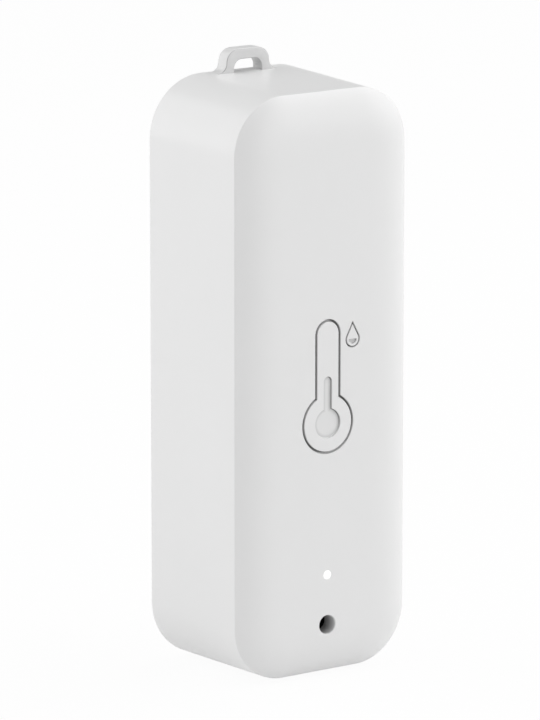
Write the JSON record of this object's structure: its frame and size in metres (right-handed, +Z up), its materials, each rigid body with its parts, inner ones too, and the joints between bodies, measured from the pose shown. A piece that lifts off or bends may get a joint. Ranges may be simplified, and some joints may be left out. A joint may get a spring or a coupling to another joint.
{
  "type": "temperature humidity sensor",
  "caption": "Upright rounded box with a crowned face, engraved thermometer, air port, indicator window and hanging loop; a battery door swings open at the back.",
  "frame": {"origin": "under the middle of the box, at the level of its lowest edge", "axes": "+Z up, +X to the right seen from the front, and the crowned face looks along -Y"},
  "size_m": [0.026, 0.019, 0.0752],
  "materials": {
    "shell_plastic": "white satin moulding with a fine texture",
    "door_plastic": "white satin moulding",
    "chassis_plastic": "pale grey moulding",
    "light_pipe_plastic": "milky white, glossy",
    "gasket_foam": "black closed-cell foam",
    "screw_steel": "bright zinc plate",
    "board_laminate": "green solder mask",
    "radio_laminate": "dark green solder mask",
    "shield_tin": "tin plate",
    "chip_resin": "black moulded resin",
    "led_resin": "ivory resin",
    "ferrite": "dark grey ferrite",
    "capacitor_resin": "yellow-brown resin",
    "chip_ceramic": "tan ceramic with tinned ends",
    "contact_nickel": "nickel plate",
    "spring_steel": "nickel-plated wire",
    "cell_metal": "bright plated can",
    "cell_sleeve": "printed film",
    "cell_washer": "pale card",
    "button_plastic": "dark grey moulding",
    "plunger_plastic": "black moulding"
  },
  "bodies": {
    "housing": {"front_shell": "shell_plastic", "light_pipe": "light_pipe_plastic", "vent_gasket": "gasket_foam", "chassis": "chassis_plastic", "chassis_screws": "screw_steel", "circuit_board": "board_laminate", "radio_board": "radio_laminate", "radio_shield": "shield_tin", "humidity_chip": "chip_resin", "status_led": "led_resin", "power_chip": "chip_resin", "inductor": "ferrite", "bulk_capacitor": "capacitor_resin", "chip_passives": "chip_ceramic", "button_switch": "chip_resin", "negative_plate": "contact_nickel", "negative_spring": "spring_steel", "positive_plate": "contact_nickel", "bridge_plate": "contact_nickel", "bridge_spring": "spring_steel"},
    "battery_door": {"battery_door": "door_plastic"},
    "left_cell": {"left_cell_can": "cell_metal", "left_cell_sleeve": "cell_sleeve", "left_cell_washer": "cell_washer"},
    "right_cell": {"right_cell_can": "cell_metal", "right_cell_sleeve": "cell_sleeve", "right_cell_washer": "cell_washer"},
    "pairing_button": {"switch_plunger": "plunger_plastic", "pairing_button": "button_plastic"}
  },
  "joints": [
    {"name": "door_hinge", "type": "hinge", "parent": "housing", "child": "battery_door", "pos_m": [0, 0.0085, 0.06465], "axis": [1, 0, 0], "range_deg": [0, 90]},
    {"name": "button_press", "type": "slide", "parent": "housing", "child": "pairing_button", "axis": [0, -1, 0], "range_m": [0, 0.0003], "stiffness_N_per_m": 300, "springref_m": -0.001},
    {"name": "left_cell_push", "type": "slide", "parent": "housing", "child": "left_cell", "axis": [0, 0, -1], "range_m": [0, 0.0012], "stiffness_N_per_m": 350, "springref_m": -0.0035, "deforming": ["negative_spring"]},
    {"name": "right_cell_push", "type": "slide", "parent": "housing", "child": "right_cell", "axis": [0, 0, 1], "range_m": [0, 0.0012], "stiffness_N_per_m": 350, "springref_m": -0.0035, "deforming": ["bridge_spring"]}
  ]
}
